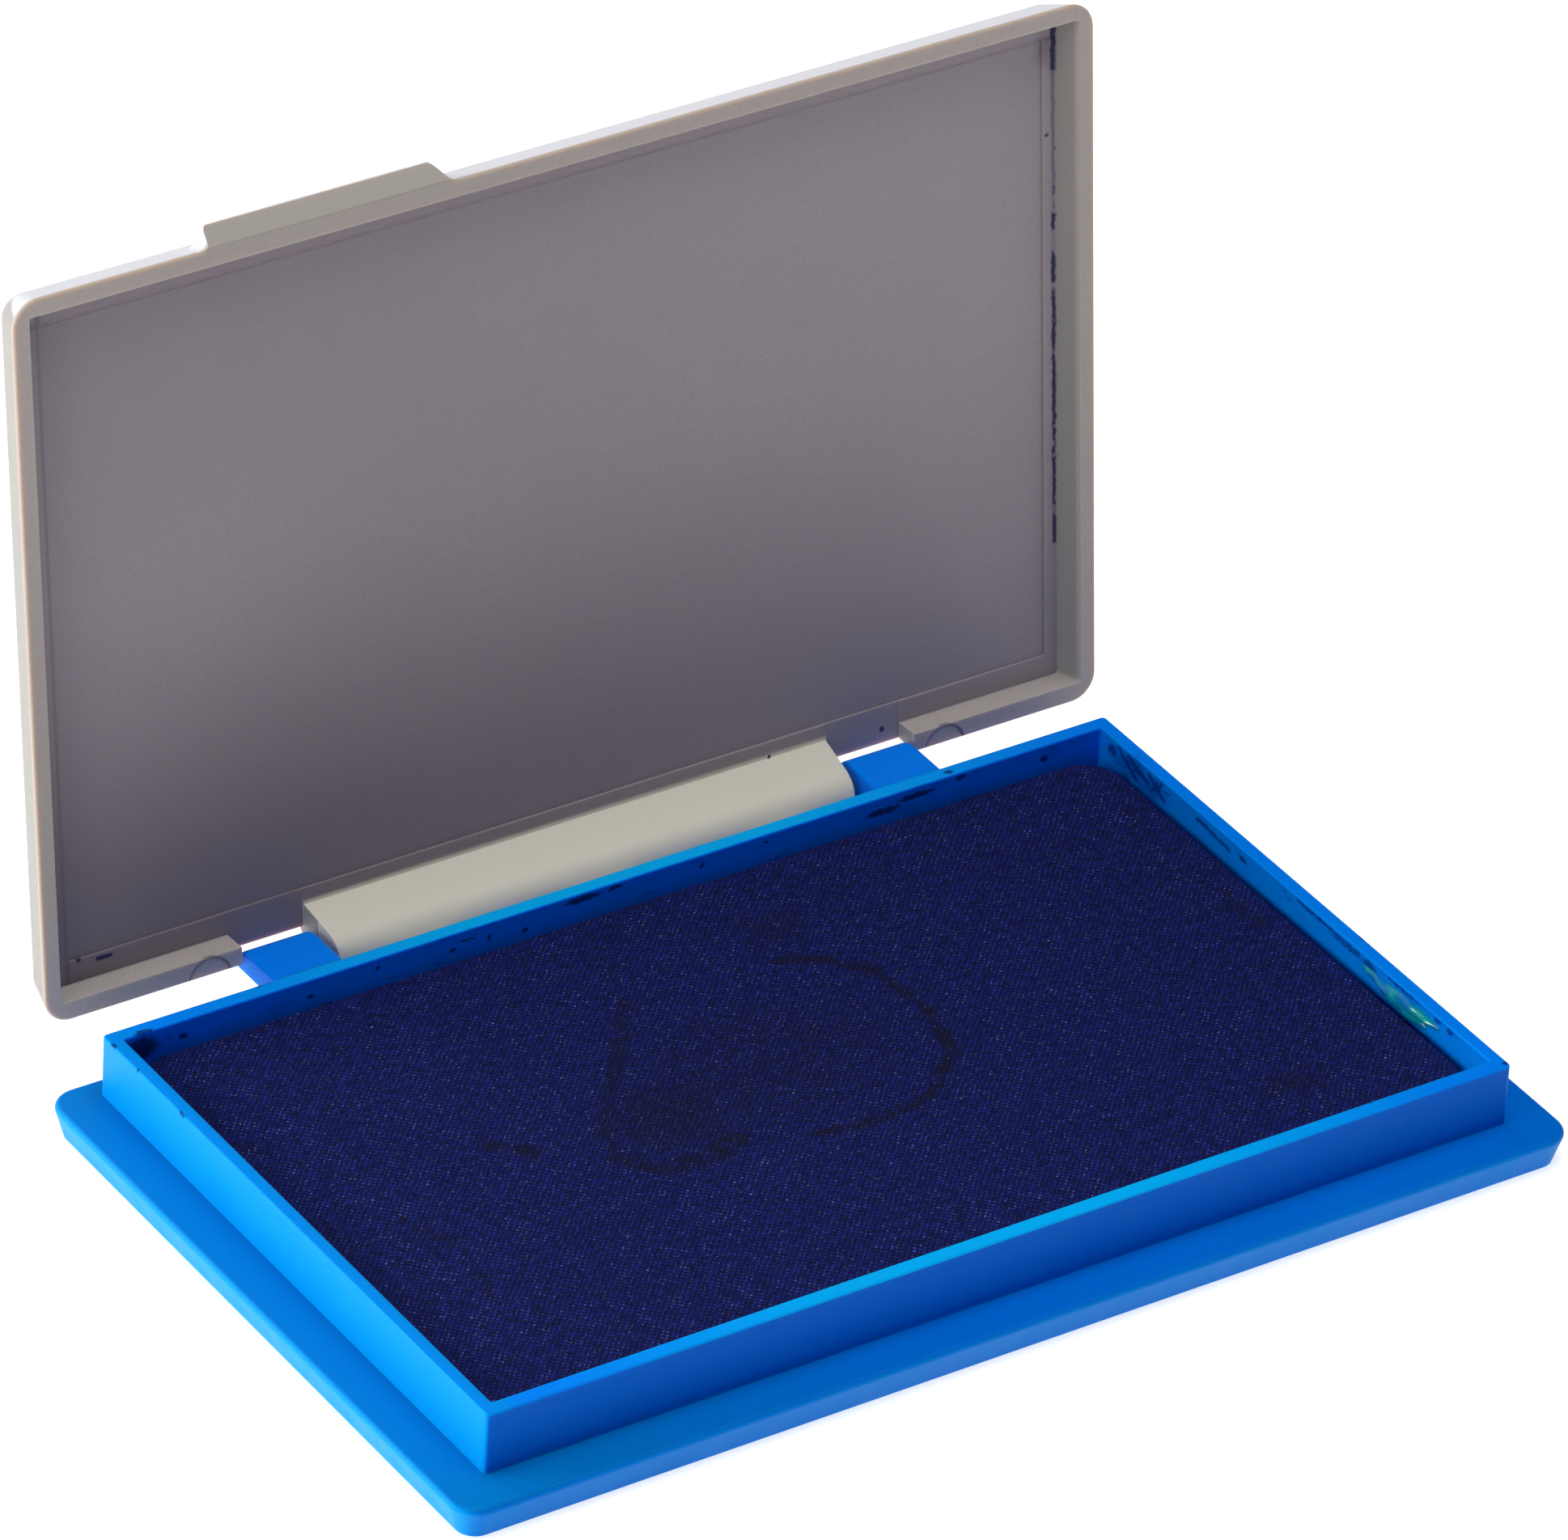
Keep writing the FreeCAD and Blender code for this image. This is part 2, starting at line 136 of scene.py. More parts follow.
STAMP_INK = (0.005, 0.004, 0.014, 1)
FIBRE_DARK = (0.015, 0.02, 0.12, 1)
FIBRE_LIGHT = (0.10, 0.12, 0.32, 1)
GLUE_BLUE = (0.0, 0.20, 0.55, 1)
GLUE_GREEN = (0.0, 0.36, 0.36, 1)
FLOOR_DARK = (0.71, 0.71, 0.715, 1)
FLOOR_LIGHT = (0.73, 0.73, 0.73, 1)
FELT_LIGHT = (0.01, 0.012, 0.1, 1)
FELT_DARK = (0.003, 0.004, 0.04, 1)
BOARD_LIGHT = (0.30, 0.27, 0.24, 1)
BOARD_DARK = (0.10, 0.11, 0.2, 1)
FOAM_LIGHT = (0.012, 0.016, 0.13, 1)
FOAM_DARK = (0.004, 0.005, 0.05, 1)

# ---- ink marks, in millimetres ----
# on the back wall's inner face: along X, below the rim, half length, half height
BACK_SPECKS = (
    (-47.6, 1.5, 2.2, 1.5), (-43.5, 1.6, 0.6, 0.35), (-31.0, 1.7, 0.5, 0.3), (-29.4, 3.0, 0.7, 0.25),
    (-24.5, 1.0, 0.4, 0.2), (-17.0, 1.6, 0.45, 0.3), (-15.6, 1.0, 0.9, 0.2), (-13.4, 1.5, 0.35, 0.5),
    (-9.8, 1.9, 0.4, 0.3), (-4.1, 0.6, 2.4, 0.4), (-0.9, 0.5, 1.0, 0.25), (8.0, 1.1, 0.35, 0.25),
    (14.5, 0.8, 0.3, 0.2), (26.6, 1.5, 2.2, 0.5), (30.0, 0.9, 2.6, 0.4), (34.6, 0.5, 0.8, 0.3),
    (43.3, 1.4, 0.5, 0.4),
)
# on the right wall's inner face: along Y, below the rim, half length, half height
RIGHT_STREAKS = (
    (26.9, 1.2, 0.9, 0.7), (24.6, 1.0, 1.5, 0.16), (22.8, 1.3, 1.4, 0.3), (20.2, 1.1, 0.8, 0.75),
    (18.6, 0.9, 0.5, 0.2), (14.0, 0.9, 0.4, 0.3), (7.2, 1.0, 0.9, 0.3), (0.9, 0.5, 0.3, 0.25),
    (0.2, 0.9, 0.5, 0.14), (-3.0, 0.5, 2.2, 0.12), (-8.2, 0.8, 3.2, 0.2), (-11.6, 0.7, 1.4, 0.4),
    (-16.5, 0.35, 3.6, 0.2), (-21.4, 0.45, 0.7, 0.3), (-23.2, 0.5, 0.6, 0.35),
)
# lines on the same wall: start and end, each along Y and below the rim, and half width
RIGHT_LINES = (
    ((26.0, 0.5), (23.2, 2.2), 0.2), ((24.6, 0.4), (21.5, 1.5), 0.15), ((21.4, 0.5), (19.0, 1.9), 0.16),
    ((20.9, 1.9), (19.5, 0.5), 0.14), ((13.8, 0.8), (9.2, 1.2), 0.16), ((-1.0, 0.35), (-10.0, 0.5), 0.12),
)
# on top of the rim: along X, along Y, half length, half width
RIM_SPECKS = (
    (50.3, -29.7, 0.5, 0.35), (50.45, -9.2, 0.2, 1.5), (-50.45, 28.4, 0.25, 0.5), (-50.45, 24.5, 0.2, 0.25),
    (-50.45, 17.3, 0.2, 0.7), (-47.2, 29.0, 1.2, 0.35), (-35.2, 30.1, 1.1, 0.2), (33.6, 29.4, 0.7, 0.3),
)
# on the lid's panel: along X, up from the hinge, radius
LID_DOTS = (
    (49.7, 54.8, 0.25), (50.9, 42.1, 0.35), (50.7, 53.4, 0.25), (-48.3, 5.0, 0.35),
    (32.2, 2.8, 0.35), (44.5, 6.0, 0.3), (20.5, 3.6, 0.25),
)
# on the cloth: the points of each line that a stamp left, along X and Y
STAMP_RING = ((6.5, 14.6), (10.0, 13.0), (12.9, 9.3), (13.8, 2.6),
              (11.9, -4.0), (6.8, -8.1), (0.8, -8.9), (-4.4, -8.1))
STAMP_LEFT = ((-8.2, 15.5), (-16.6, 4.7), (-20.2, 0.0), (-20.6, -3.2))
STAMP_FOOT = ((-20.6, -3.2), (-18.4, -6.1), (-14.6, -6.7), (-10.6, -5.4))
CORNER_LINE = ((-41.0, -0.9), (-38.6, -7.8), (-40.0, -14.3))
SPOT = ((-29.0, 3.3), (-26.6, 0.9))
SIDE_LINE = ((46.0, 5.2), (45.9, -0.4))

# ---- studio ----
FLOOR_GLOW = 0.64
WORLD_LIGHT = 0.01
# name, place and size in metres, power in watts
SOFTBOXES = (
    ("left_softbox", (-1.0, 0.6, 0.35), 0.7, 10.5),
    ("side_softbox", (-1.1, -0.25, 0.5), 0.7, 4.2),
    ("top_softbox", (0.15, -0.1, 1.3), 0.9, 10.6),
    ("back_softbox", (-0.25, 1.2, 0.75), 0.8, 7.0),
)


def lid_point(x, up, depth=LID_DEPTH):
    """A point on the lid, up from the hinge and in from the rim: on the panel, unless told otherwise."""
    turned = Matrix.Rotation(-OPEN, 3, "X") @ Vector((0, -up, depth + LID_RIM_TO_HINGE))
    return Vector((x, HINGE.y + turned.y, HINGE.z + turned.z))


# ---- materials ----
class Shader:
    """Builds one material, with object coordinates as its place."""

    def __init__(self, name):
        self.material = bpy.data.materials.new(name)
        self.material.use_nodes = True
        self.tree = self.material.node_tree
        self.surface = self.tree.nodes["Principled BSDF"]
        coordinates = self.add("ShaderNodeTexCoord")
        self.place = coordinates.outputs["Object"]
        self.facing = coordinates.outputs["Normal"]

    def add(self, kind):
        return self.tree.nodes.new(kind)

    def feed(self, socket, value):
        """Sets a socket to a number or colour, or links an output to it."""
        if isinstance(value, bpy.types.NodeSocket):
            self.tree.links.new(value, socket)
        else:
            socket.default_value = value

    def set(self, **values):
        """Sets sockets of the surface shader, with spaces written as underscores."""
        for name, value in values.items():
            self.feed(self.surface.inputs[name.replace("_", " ")], value)

    def number(self, operation, *values, clamp=False):
        node = self.add("ShaderNodeMath")
        node.operation = operation
        node.use_clamp = clamp
        for socket, value in zip(node.inputs, values):
            self.feed(socket, value)
        return node.outputs[0]

    def vector(self, operation, *values, output="Vector"):
        node = self.add("ShaderNodeVectorMath")
        node.operation = operation
        for socket, value in zip(node.inputs, values):
            self.feed(socket, value)
        return node.outputs[output]

    def scaled(self, vector, factor):
        node = self.add("ShaderNodeVectorMath")
        node.operation = "SCALE"
        self.feed(node.inputs[0], vector)
        self.feed(node.inputs["Scale"], factor)
        return node.outputs[0]

    def axes(self, vector):
        node = self.add("ShaderNodeSeparateXYZ")
        self.feed(node.inputs[0], vector)
        return node.outputs

    def noise(self, size, detail=2.0, roughness=0.5, output="Fac", place=None):
        """Cloudy noise whose features are about this size, in metres."""
        node = self.add("ShaderNodeTexNoise")
        self.feed(node.inputs["Vector"], place or self.place)
        node.inputs["Scale"].default_value = 1 / size
        node.inputs["Detail"].default_value = detail
        node.inputs["Roughness"].default_value = roughness
        return node.outputs[output]

    def ease(self, value, low, high, start=0.0, end=1.0):
        """Goes smoothly from start to end while the value goes from low to high."""
        node = self.add("ShaderNodeMapRange")
        node.interpolation_type = "SMOOTHSTEP"
        names = ("Value", "From Min", "From Max", "To Min", "To Max")
        for name, number in zip(names, (value, low, high, start, end)):
            self.feed(node.inputs[name], number)
        return node.outputs[0]

    def mix(self, factor, first, second, blend="MIX"):
        node = self.add("ShaderNodeMix")
        node.data_type = "RGBA"
        node.blend_type = blend
        for index, value in ((0, factor), (6, first), (7, second)):
            self.feed(node.inputs[index], value)
        return node.outputs[2]

    def most(self, values):
        """The largest of several masks."""
        result = values[0]
        for value in values[1:]:
            result = self.number("MAXIMUM", result, value)
        return result

    def all_of(self, *values):
        result = values[0]
        for value in values[1:]:
            result = self.number("MULTIPLY", result, value)
        return result

    def bump(self, height, depth, below=None):
        """Raises the surface by depth metres where height is 1."""
        node = self.add("ShaderNodeBump")
        node.inputs["Distance"].default_value = depth
        self.feed(node.inputs["Height"], height)
        if below is not None:
            self.feed(node.inputs["Normal"], below)
        return node.outputs[0]

    def ragged(self, amount, size=0.5 * MM):
        """Coordinates with a ragged wobble of about this amount."""
        wobble = self.vector("SUBTRACT", self.noise(size, 3, 0.6, "Color"), (0.5, 0.5, 0.5))
        return self.vector("ADD", self.place, self.scaled(wobble, 2 * amount))

    def blot(self, place, centre, radii, soft=0.5):
        """1 inside an ellipsoid, fading over its outer part."""
        offset = self.vector("SUBTRACT", place, tuple(centre))
        reach = self.vector("LENGTH", self.vector("DIVIDE", offset, tuple(radii)), output="Value")
        return self.ease(reach, 1.0, 1.0 - soft)

    def stroke(self, place, start, end, width):
        """1 on the line from start to end, fading out to this half width."""
        along = end - start
        offset = self.vector("SUBTRACT", place, tuple(start))
        share = self.number("DIVIDE", self.vector("DOT_PRODUCT", offset, tuple(along), output="Value"),
                            along.length_squared, clamp=True)
        foot = self.scaled(tuple(along), share)
        gap = self.vector("LENGTH", self.vector("SUBTRACT", offset, foot), output="Value")
        return self.ease(gap, width, 0.35 * width)

    def strokes(self, place, points, width):
        return self.most([self.stroke(place, a, b, width) for a, b in zip(points, points[1:])])


def tray_plastic():
    """Bright blue polypropylene, a little translucent, with ink specks and smears inside the rim, and light
    and shade painted into its colour by place and facing.
    """
    s = Shader("tray_blue_plastic")
    x, y, z = s.axes(s.place)
    cloud = s.noise(14 * MM, 3)
    base = s.mix(cloud, BLUE_DARK, BLUE_LIGHT)
    # painted light: the left part of the tray is tinted a lighter, more cyan blue, for the light falling on
    # it from the left
    base = s.mix(s.ease(x, -5 * MM, -48 * MM), base, LEFT_LIT_BLUE)
    across, along, _ = s.axes(s.facing)
    # painted shade: faces turned to the front are painted a darker blue
    front = s.ease(along, -0.5, -0.9)
    base = s.mix(front, base, FRONT_SHADE_BLUE)
    # painted light: the front of the skirt, below SKIRT_TOP, is painted a lighter blue
    base = s.mix(s.all_of(front, s.ease(z, SKIRT_TOP, SKIRT_TOP - 0.3 * MM)), base, SKIRT_LIT_BLUE)
    on_top = s.ease(z, RIM_Z - 0.25 * MM, RIM_Z - 0.1 * MM)
    lit_side = s.all_of(s.ease(across, -0.3, -0.9), s.ease(x, 0.0, -40 * MM))
    near_left = s.ease(x, -46 * MM, -49 * MM)
    side = s.number("ABSOLUTE", x)
    # painted light: top holds the rim's painted light; the rim's top is painted paler than the walls, palest
    # near the middle of the front and back, and lighter again on the left end
    top = s.mix(s.ease(side, 50 * MM, 12 * MM), RIM_END_LIT_BLUE, RIM_MIDDLE_LIT_BLUE)
    top = s.mix(near_left, top, RIM_LEFT_LIT_BLUE)
    base = s.mix(on_top, base, top)
    base = s.mix(lit_side, base, BLUE_LIT)
    # painted light: the hinge lugs are painted a lighter blue
    on_lug = s.all_of(s.ease(y, 30.4 * MM, 30.7 * MM), s.ease(z, 5 * MM, 8 * MM))
    base = s.mix(on_lug, base, LUG_LIT_BLUE)
    ragged = s.ragged(0.35 * MM)
    specks = []
    streaks = []
    for px, drop, rx, rz in BACK_SPECKS:
        specks.append(s.blot(ragged, (px * MM, BACK_WALL, RIM_Z - drop * MM), (rx * MM, 1.2 * MM, rz * MM)))
    for py, drop, ry, rz in RIGHT_STREAKS:
        streaks.append(s.blot(ragged, (RIGHT_WALL, py * MM, RIM_Z - drop * MM), (1.1 * MM, ry * MM, rz * MM)))
    for start, end, width in RIGHT_LINES:
        ends = [Vector((RIGHT_WALL, py * MM, RIM_Z - drop * MM)) for py, drop in (start, end)]
        streaks.append(s.stroke(ragged, *ends, 2 * width * MM))
    for px, py, rx, ry in RIM_SPECKS:
        specks.append(s.blot(ragged, (px * MM, py * MM, RIM_Z), (rx * MM, ry * MM, 0.4 * MM)))
    inside = s.all_of(s.ease(side, RIGHT_WALL + INSIDE, RIGHT_WALL),
                      s.ease(s.number("ABSOLUTE", y), BACK_WALL + INSIDE, BACK_WALL))
    level = s.number("ADD", z, s.number("MULTIPLY", s.noise(5 * MM, 3), 1.8 * MM))
    at_back = s.ease(y, BACK_WALL - INSIDE, BACK_WALL)
    # ink and painted shade: the inner walls darken from just below the rim down towards the pad, most on the
    # back wall
    ink_and_shade_depth = s.ease(level, RIM_Z - 0.3 * MM, RIM_Z - 2.2 * MM)
    ink_and_shade_on_walls = s.all_of(inside, ink_and_shade_depth, s.number("MULTIPLY_ADD", at_back, 0.2, 0.05))
    smear_field = s.noise(1.6 * MM, 4, 0.65, place=s.vector("MULTIPLY", s.place, (0.35, 0.35, 1.6)))
    smear = s.all_of(inside, s.ease(smear_field, 0.58, 0.68, 0.0, 0.35))
    place = s.ragged(1.2 * MM, 2.5 * MM)
    patch = s.blot(place, (RIGHT_WALL, 23 * MM, RIM_Z - 1.6 * MM), (2 * MM, 6 * MM, 1.5 * MM), 0.6)
    # painted light: the inner faces of the walls are painted a brighter blue, for light shining through the
    # thin plastic, a little darker on the back wall; from here stained holds this painted light as well as
    # the ink
    stained = s.mix(inside, base, s.mix(at_back, INNER_WALL_LIT_BLUE, BACK_WALL_LIT_BLUE))
    stained = s.mix(ink_and_shade_on_walls, stained, INK_AND_SHADE_NAVY)
    stained = s.mix(s.most([smear, s.number("MULTIPLY", patch, 0.6)]), stained, INK_SMEAR)
    stained = s.mix(s.number("MULTIPLY", s.most(streaks), 0.75), stained, INK_STREAK)
    s.set(Base_Color=s.mix(s.number("MULTIPLY", s.most(specks), 0.82), stained, INK_SPECK))
    s.set(Roughness=s.ease(s.noise(3 * MM, 4), 0.3, 0.7, 0.38, 0.48))
    s.set(Subsurface_Weight=0.35, Subsurface_Radius=(0.1, 0.6, 1.0), Subsurface_Scale=1.4 * MM)
    s.set(Specular_IOR_Level=0.14, Specular_Tint=(0.1, 0.5, 1, 1))
    grain = s.bump(s.noise(0.22 * MM, 3, 0.6), 0.006 * MM)
    s.set(Normal=s.bump(s.noise(9 * MM, 2), 0.12 * MM, grain))
    return s.material


def lid_plastic():
    """Warm grey polypropylene with a fine matt texture and an old ink run along the right wall, and light and
    shade painted into its colour by place and facing.
    """
    s = Shader("lid_grey_plastic")
    x, y, z = s.axes(s.place)
    cloud = s.noise(22 * MM, 3, 0.55)
    base = s.mix(cloud, GREY_DARK, GREY_LIGHT)
    grain_field = s.noise(0.28 * MM, 3, 0.7)
    base = s.mix(s.ease(grain_field, 0.35, 0.75, 0.0, 0.35), base, GREY_GRAIN)
    behind = s.number("SUBTRACT", y, HINGE.y)
    above = s.number("SUBTRACT", z, HINGE.z)
    turn = OPEN - math.pi / 2
    up = s.number("ADD", s.number("MULTIPLY", behind, math.sin(turn)),
                  s.number("MULTIPLY", above, math.cos(turn)))
    deep = s.number("SUBTRACT", s.number("MULTIPLY", behind, math.cos(turn)),
                    s.number("MULTIPLY", above, math.sin(turn)))
    on_panel = s.all_of(s.ease(deep, LID_DEPTH, LID_DEPTH + LID_RIM_TO_HINGE),
                        s.ease(deep, 4.0 * MM, 3.5 * MM))
    tinted = s.mix(1.0, base, PANEL_TINT, "MULTIPLY")
    left = s.ease(x, 30 * MM, -48 * MM, 0.35, 1.0)
    # painted shade: high paints the panel darker towards its top, most at the left; low paints it darker
    # still towards its lower left, as painted shade and a painted reflection of the dark pad
    high = s.all_of(s.ease(z, 35 * MM, 65 * MM, 0.0, 0.42), s.ease(x, 20 * MM, -45 * MM, 0.3, 1.0))
    low = s.all_of(s.ease(z, 46 * MM, 12 * MM, 0.0, 0.68), left,
                   s.ease(s.noise(30 * MM, 2), 0.2, 0.6, 0.75, 1.0))
    tinted = s.mix(high, tinted, PANEL_UPPER_SHADE)
    tinted = s.mix(low, tinted, PANEL_LOWER_SHADE)
    # painted shade: a dark line is painted along the panel's top and left steps
    step_shade = [s.all_of(s.ease(gap, -0.4 * MM, 0.0), s.ease(gap, 0.35 * MM, 0.1 * MM))
             for gap in (s.number("SUBTRACT", up, PANEL_TOP), s.number("SUBTRACT", -PANEL_SIDE, x))]
    tinted = s.mix(s.number("MULTIPLY", s.most(step_shade), 0.4), tinted, PANEL_STEP_SHADE)
    base = s.mix(on_panel, base, tinted)
    side = s.number("ABSOLUTE", x)
    # painted light: the hinge bar is painted a pale cream, lighter than the rest of the lid
    lit_bar = s.all_of(s.ease(z, 10.3 * MM, 9.8 * MM), s.ease(side, BAR_HALF, BAR_HALF - 0.1 * MM),
                      s.ease(s.axes(s.facing)[1], 0.5, 0.1))
    base = s.mix(lit_bar, base, BAR_LIT_CREAM)
    near_tab = s.all_of(s.ease(x, TAB_LEFT - 0.4 * MM, TAB_LEFT),
                        s.ease(x, TAB_RIGHT + 0.4 * MM, TAB_RIGHT))
    edge = s.most([s.ease(side, LID_SIDE - 0.6 * MM, LID_SIDE - 0.1 * MM),
                   s.all_of(s.ease(up, LID_TOP - 0.5 * MM, LID_TOP - 0.1 * MM),
                            s.number("SUBTRACT", 1.0, near_tab))])
    on_rim = s.ease(deep, 0.75 * MM, 0.5 * MM)
    # painted glow: a tan glow is painted along the rim's outer edges, stronger towards the left
    glow = s.all_of(edge, on_rim, s.ease(x, 20 * MM, -50 * MM, 0.35, 0.55))
    base = s.mix(glow, base, RIM_GLOW_TAN)
    on_tab = s.all_of(near_tab, s.ease(up, LID_TOP - 0.2 * MM, LID_TOP + 0.2 * MM))
    base = s.mix(on_tab, base, TAB_GREY)
    # painted shade: the lid's outer faces turned to the left are painted a darker grey
    left_outer_shade = s.all_of(s.ease(s.axes(s.facing)[0], -0.5, -0.8), s.ease(deep, 0.6 * MM, 0.9 * MM))
    base = s.mix(left_outer_shade, base, SIDE_SHADE_GREY)
    # painted highlight: the outer faces at the lid's top end are painted a pale, bluish grey
    crest_highlight = s.all_of(s.ease(up, LID_TOP - 1.6 * MM, LID_TOP - 1.2 * MM),
                     s.ease(deep, 0.6 * MM, 0.9 * MM), s.ease(s.axes(s.facing)[1], -0.3, 0.0))
    base = s.mix(crest_highlight, base, CREST_HIGHLIGHT_GREY)
    rings = []
    for px in (-MARK_X, MARK_X):
        offset = s.vector("SUBTRACT", s.place, tuple(lid_point(px, MARK_UP, 0)))
        reach = s.vector("LENGTH", offset, output="Value")
        rings.append(s.number("MULTIPLY", s.ease(reach, 1.85 * MM, 1.98 * MM),
                              s.ease(reach, 2.2 * MM, 2.05 * MM)))
    base = s.mix(s.all_of(s.most(rings), on_rim, 0.7), base, MOULD_MARK)
    ragged = s.ragged(0.22 * MM, 0.8 * MM)
    run = s.stroke(ragged, lid_point(LID_JUNCTION, 15.9 * MM), lid_point(LID_JUNCTION, 50.4 * MM), 0.29 * MM)
    broken = s.ease(s.noise(2.2 * MM, 3, 0.6), 0.40, 0.5, 0.15, 1.0)
    head = s.stroke(ragged, lid_point(LID_JUNCTION, 61.0 * MM), lid_point(LID_JUNCTION, 64.6 * MM), 0.42 * MM)
    haze = s.blot(ragged, lid_point(49.6 * MM, 63 * MM), (1.5 * MM, 2.5 * MM, 2.6 * MM), 0.9)
    faint = s.stroke(ragged, lid_point(LID_JUNCTION, 50.4 * MM), lid_point(LID_JUNCTION, 61.4 * MM),
                     0.28 * MM)
    dots = [s.blot(ragged, lid_point(px * MM, high_up * MM), (r * MM,) * 3)
            for px, high_up, r in LID_DOTS]
    dash = s.stroke(ragged, lid_point(-46.4 * MM, 4.5 * MM), lid_point(-45.2 * MM, 4.5 * MM), 0.3 * MM)
    ink = s.most([s.number("MULTIPLY", run, broken), head, s.number("MULTIPLY", faint, 0.45),
                  s.number("MULTIPLY", haze, 0.3), dash] + dots)
    s.set(Base_Color=s.mix(s.number("MULTIPLY", ink, 0.92), base, LID_INK))
    s.set(Roughness=s.ease(s.noise(4 * MM, 4), 0.3, 0.7, 0.5, 0.6))
    s.set(Subsurface_Weight=0.45, Subsurface_Radius=(1.0, 0.55, 0.3), Subsurface_Scale=1.5 * MM)
    s.set(Specular_IOR_Level=0.3)
    s.set(Normal=s.bump(grain_field, 0.012 * MM))
    return s.material


def weave(s, place):
    """Plain weave: warp threads along Y pass over and under weft threads along X. Gives both heights."""
    x, y, _ = s.axes(place)
    turn_x = s.number("MULTIPLY", x, math.pi / PITCH)
    turn_y = s.number("MULTIPLY", y, math.pi / PITCH)
    sine_x = s.number("SINE", turn_x)
    sine_y = s.number("SINE", turn_y)
    over = s.number("MULTIPLY_ADD", s.number("MULTIPLY", sine_x, sine_y), 0.5, 0.5)
    under = s.number("SUBTRACT", 1.0, over)
    return over, s.number("MULTIPLY", under, 0.6)


def on_pad(points):
    """Points on top of the pad, from millimetres along X and Y."""
    return [Vector((x * MM, y * MM, 0)) for x, y in points]


def inked_cloth():
    """Navy plain-woven cotton with painted glints on its threads and the dark marks of old stamps."""
    s = Shader("inked_cloth")
    wobble = s.vector("SUBTRACT", s.noise(3.5 * MM, 3, 0.6, "Color"), (0.5, 0.5, 0.5))
    fine = s.vector("SUBTRACT", s.noise(0.5 * MM, 2, 0.5, "Color"), (0.5, 0.5, 0.5))
    woven = s.vector("ADD", s.place, s.vector("ADD", s.scaled(wobble, 0.55 * MM), s.scaled(fine, 0.1 * MM)))
    warp, weft = weave(s, woven)
    height = s.number("MAXIMUM", warp, weft)
    uneven = s.noise(0.2 * MM, 3, 0.7)
    slub = s.noise(0.55 * MM, 3, 0.65)
    tone = s.noise(11 * MM, 4, 0.6)
    base = s.mix(tone, NAVY_DARK, NAVY_LIGHT)
    thread = s.mix(s.ease(warp, 0.25, 0.85), THREAD_GAP, base)
    thread = s.mix(s.ease(slub, 0.38, 0.62, 0.75, 0.0), thread, SLUB)
    # painted glints: bright specks are painted on the tops of the warp threads
    glint = s.all_of(s.ease(uneven, 0.56, 0.64), s.ease(warp, 0.4, 0.8),
                     s.ease(s.noise(0.9 * MM, 2), 0.42, 0.64))
    thread = s.mix(s.number("MULTIPLY", glint, 0.7), thread, GLINT)
    flat = s.vector("MULTIPLY", s.ragged(0.5 * MM, 1.4 * MM), (1, 1, 0))
    ring = s.strokes(flat, on_pad(STAMP_RING), 0.85 * MM)
    left = s.strokes(flat, on_pad(STAMP_LEFT), 1.0 * MM)
    foot = s.strokes(flat, on_pad(STAMP_FOOT), 1.5 * MM)
    corner = s.strokes(flat, on_pad(CORNER_LINE), 0.5 * MM)
    spot = s.strokes(flat, on_pad(SPOT), 1.2 * MM)
    side = s.strokes(flat, on_pad(SIDE_LINE), 0.9 * MM)
    patch = s.blot(flat, (-14.0 * MM, 0.0, 0), (8 * MM, 7.5 * MM, 1), 0.8)
    faded = s.blot(flat, (-3.0 * MM, 2.5 * MM, 0), (17 * MM, 11 * MM, 1), 0.6)
    smudge = s.blot(flat, (35 * MM, -21 * MM, 0), (5 * MM, 2.4 * MM, 1), 0.9)
    upper = s.blot(flat, (9 * MM, 19 * MM, 0), (5 * MM, 4 * MM, 1), 0.9)
    worn = s.ease(s.noise(1.5 * MM, 3, 0.6), 0.35, 0.6, 0.2, 0.9)
    marks = s.number("MULTIPLY", s.most([ring, spot, s.number("MULTIPLY", left, 0.8), foot, side,
                                         s.number("MULTIPLY", corner, 0.6)]), worn)
    marks = s.most([marks, s.number("MULTIPLY", patch, 0.55), s.number("MULTIPLY", smudge, 0.5),
                    s.all_of(faded, worn, 0.4), s.number("MULTIPLY", upper, 0.4)])
    s.set(Base_Color=s.mix(s.number("MULTIPLY", marks, 0.85), thread, STAMP_INK))
    s.set(Roughness=s.ease(height, 0.3, 1.0, 0.85, 0.62))
    s.set(Specular_IOR_Level=0.12, Sheen_Weight=0.02, Sheen_Roughness=0.5, Sheen_Tint=(0.35, 0.4, 0.9, 1))
    s.set(Normal=s.bump(uneven, 0.05 * MM, s.bump(height, 0.12 * MM)))
    return s.material


def fibre():
    """Loose fibre ends, paler than the cloth."""
    s = Shader("cloth_fibre")
    s.set(Base_Color=s.mix(s.noise(1.2 * MM), FIBRE_DARK, FIBRE_LIGHT))
    s.set(Roughness=0.4, Specular_IOR_Level=0.4)
    return s.material


def glue():
    """Set glue, glossy and stained turquoise by the ink."""
    s = Shader("turquoise_glue")
    tint = s.noise(1.6 * MM, 3)
    s.set(Base_Color=s.mix(s.ease(tint, 0.35, 0.65), GLUE_BLUE, GLUE_GREEN))
    s.set(Roughness=0.12, Subsurface_Weight=0.4, Subsurface_Radius=(0.2, 0.8, 1.0), Subsurface_Scale=0.6 * MM)
    s.set(Coat_Weight=1.0, Coat_Roughness=0.05)
    s.set(Normal=s.bump(s.noise(0.5 * MM, 2), 0.05 * MM))
    return s.material


